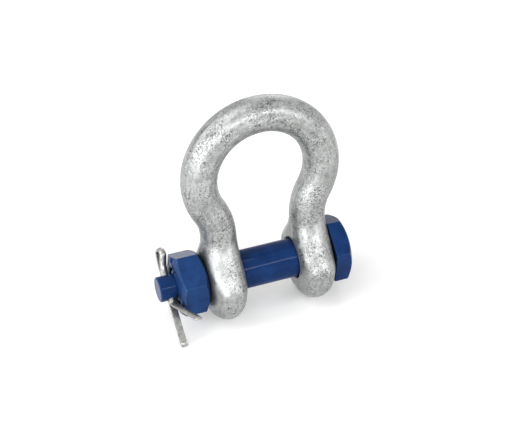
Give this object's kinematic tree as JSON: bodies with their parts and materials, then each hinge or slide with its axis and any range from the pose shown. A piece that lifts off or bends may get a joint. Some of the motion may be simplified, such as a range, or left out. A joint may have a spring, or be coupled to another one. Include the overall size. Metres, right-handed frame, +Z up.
{
  "type": "bow shackle",
  "caption": "Galvanised omega-shaped bow with round ears, closed by a blue hexagon-head bolt, a hexagon nut and a split pin through the bolt's end.",
  "frame": {"origin": "on the ground, below the middle of the whole shackle's box", "axes": "+Z up along the bow, towards its crown; +X along the bolt from the nut to the head; -Y towards the side where the split pin's legs reach the ground"},
  "size_m": [0.077, 0.0426, 0.0919],
  "materials": {
    "galvanised": "hot-dip zinc, mottled light grey with fine dark specks, half-bright",
    "bolt_paint": "dark blue paint, satin to glossy",
    "nut_paint": "dark blue paint, satin",
    "plated_wire": "zinc-plated drawn wire, dull with bright streaks"
  },
  "bodies": {
    "bow": {"bow": "galvanised"},
    "bolt": {"bolt": "bolt_paint", "split_pin": "plated_wire"},
    "nut": {"nut": "nut_paint"}
  },
  "joints": [
    {"name": "bolt_turn", "type": "hinge", "parent": "bow", "child": "bolt", "pos_m": [0.00576, 0.00349, 0.0178], "axis": [1, 0, 0], "continuous": true},
    {"name": "nut_turn", "type": "hinge", "parent": "bolt", "child": "nut", "pos_m": [-0.02579, 0.00349, 0.0178], "axis": [-1, 0, 0], "range_deg": [0, 50]}
  ]
}
